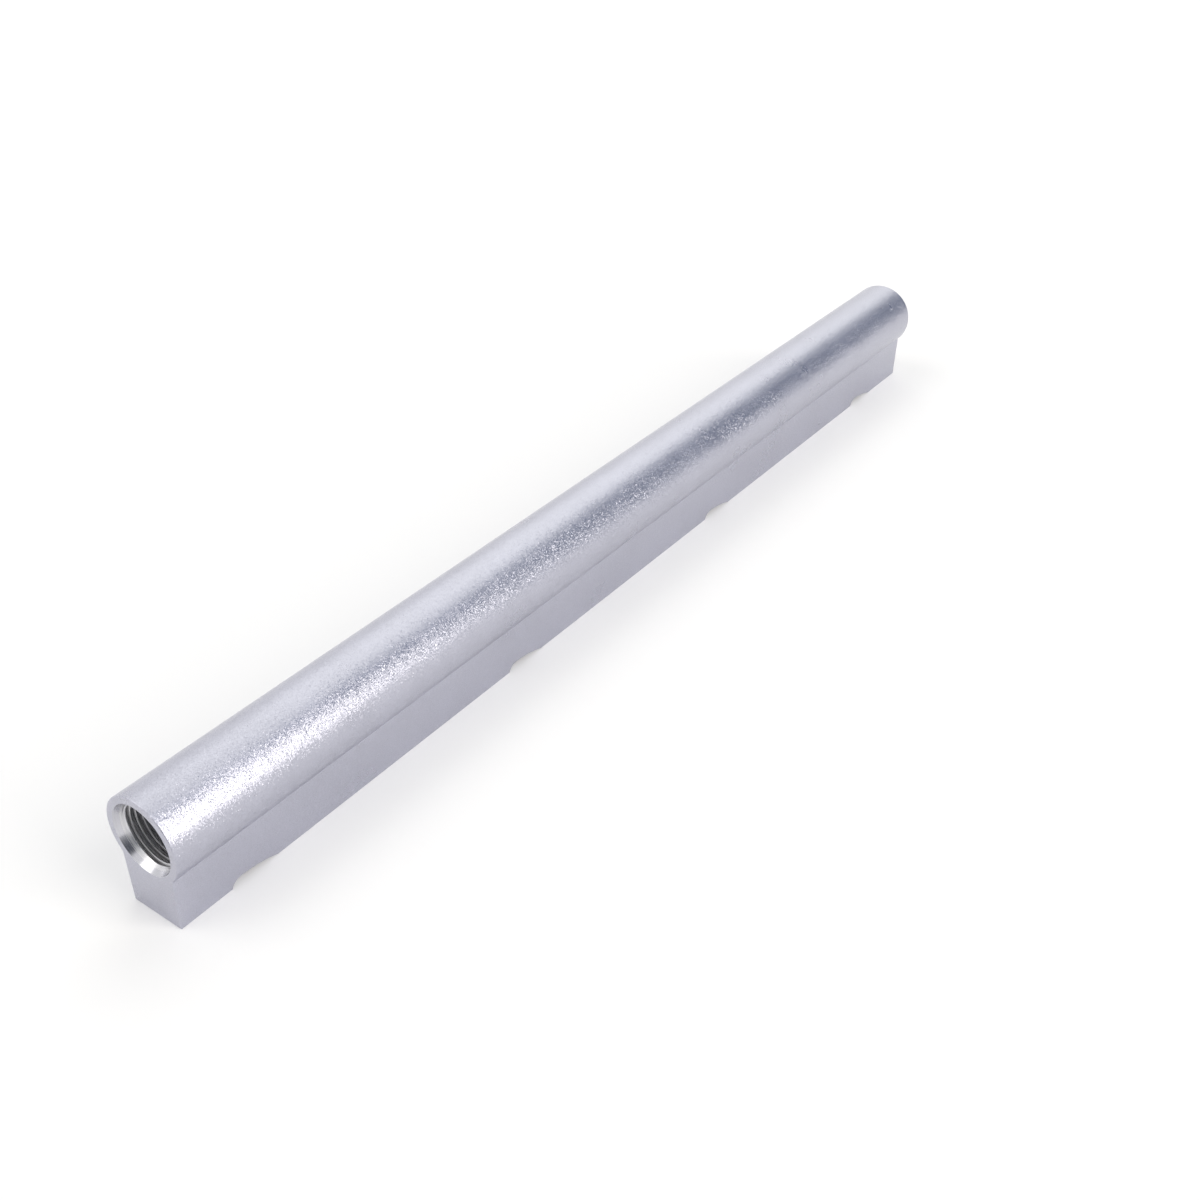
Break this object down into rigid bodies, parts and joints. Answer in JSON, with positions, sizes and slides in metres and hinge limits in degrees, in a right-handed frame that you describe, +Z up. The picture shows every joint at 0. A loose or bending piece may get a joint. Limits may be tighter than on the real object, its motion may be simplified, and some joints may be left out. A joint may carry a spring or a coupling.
{
  "type": "fuel rail",
  "caption": "Straight machined aluminium fuel rail: a round gallery on a tapered skirt, threaded ports in the ends, injector pockets below and a scalloped lower edge.",
  "frame": {"origin": "middle of the foot, in the skirt's middle plane, on the surface that the rail stands on", "axes": "+X along the rail, away from the port that the picture shows; +Z up, from the foot to the gallery; -Y out of the side with the scallops"},
  "size_m": [0.3912, 0.0248, 0.0366],
  "materials": {
    "rail_body": "satin, clear anodised, finely blasted"
  },
  "bodies": {
    "root": {"rail_body": "rail_body"}
  },
  "joints": []
}
